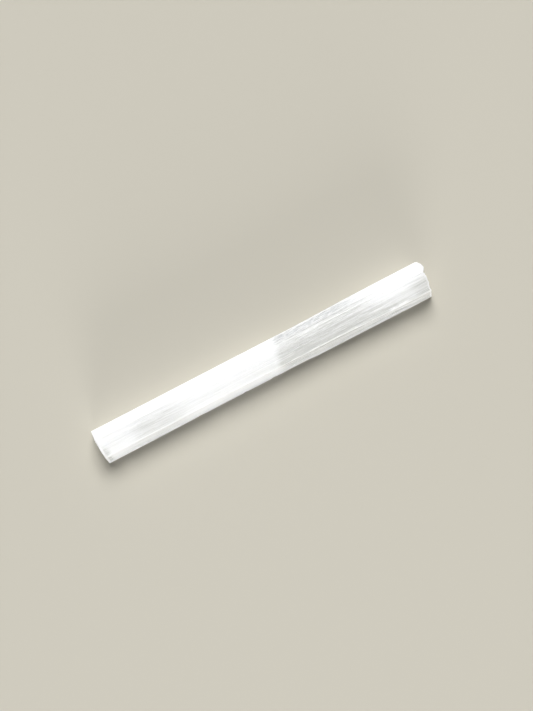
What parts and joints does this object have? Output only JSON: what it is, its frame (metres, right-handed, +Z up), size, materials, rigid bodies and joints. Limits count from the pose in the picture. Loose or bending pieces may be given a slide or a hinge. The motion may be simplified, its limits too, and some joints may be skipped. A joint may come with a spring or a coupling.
{
  "type": "selenite crystal blade",
  "caption": "Raw satin-spar selenite stick, straight and roughly squared, with a snapped end and a ragged end, lying on its flat side.",
  "frame": {"origin": "on the resting surface, under the middle of the blade's length and width", "axes": "+X along the fibres, from the snapped square end to the ragged end; +Y to the side with the sloping facet; +Z up from the flat side that it lies on"},
  "size_m": [0.1502, 0.0152, 0.0102],
  "materials": {
    "satin_spar": "silky fibrous crystal, milky white to half clear, with fine lines along its length"
  },
  "bodies": {
    "root": {"blade": "satin_spar"}
  },
  "joints": []
}
